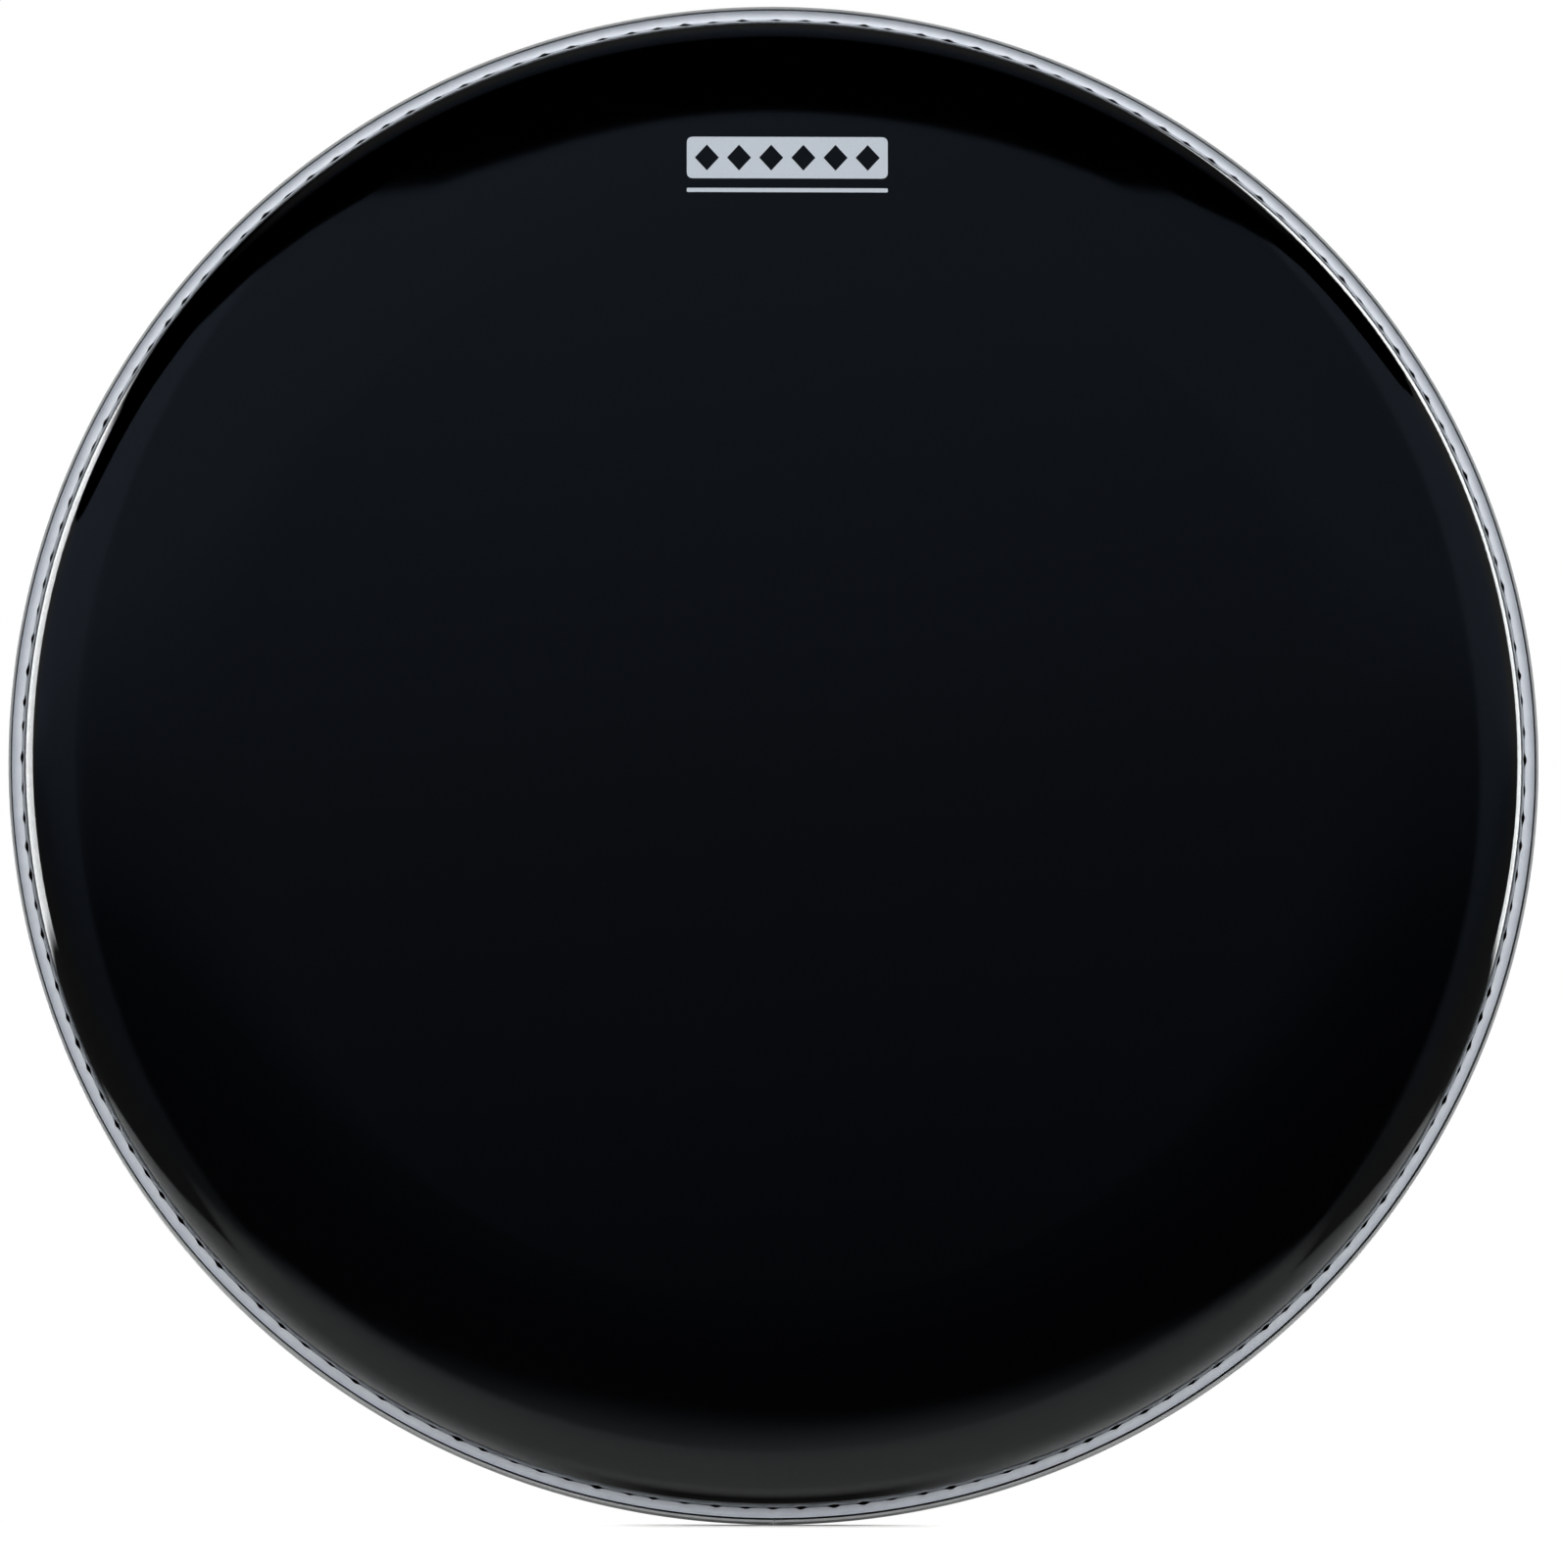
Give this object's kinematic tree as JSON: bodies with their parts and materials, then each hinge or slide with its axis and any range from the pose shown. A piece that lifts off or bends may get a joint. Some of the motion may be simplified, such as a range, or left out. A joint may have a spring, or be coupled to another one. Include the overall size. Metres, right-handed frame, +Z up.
{
  "type": "bass drum head",
  "caption": "Glossy black two-ply polyester bass drum head with a formed collar, hooked and resin-locked into a round aluminium channel hoop.",
  "frame": {"origin": "middle of the whole head: on its axis, halfway between the printed playing face and the hoop's rear face", "axes": "the head stands upright: -Y looks out of the playing face, +Y towards the drum's shell, +Z up to the printed mark, +X to the right seen from the front"},
  "size_m": [0.577, 0.0222, 0.577],
  "materials": {
    "hoop_aluminium": "satin extruded and rolled",
    "hoop_resin": "cast grey resin with a soft sheen",
    "black_film": "high gloss black polyester film",
    "clear_film": "clear glossy polyester film",
    "print_ink": "light grey screen ink"
  },
  "bodies": {
    "root": {"flesh_hoop": "hoop_aluminium", "resin_fill": "hoop_resin", "black_inner_ply": "black_film", "clear_outer_ply": "clear_film", "print_band": "print_ink", "print_line": "print_ink"}
  },
  "joints": []
}
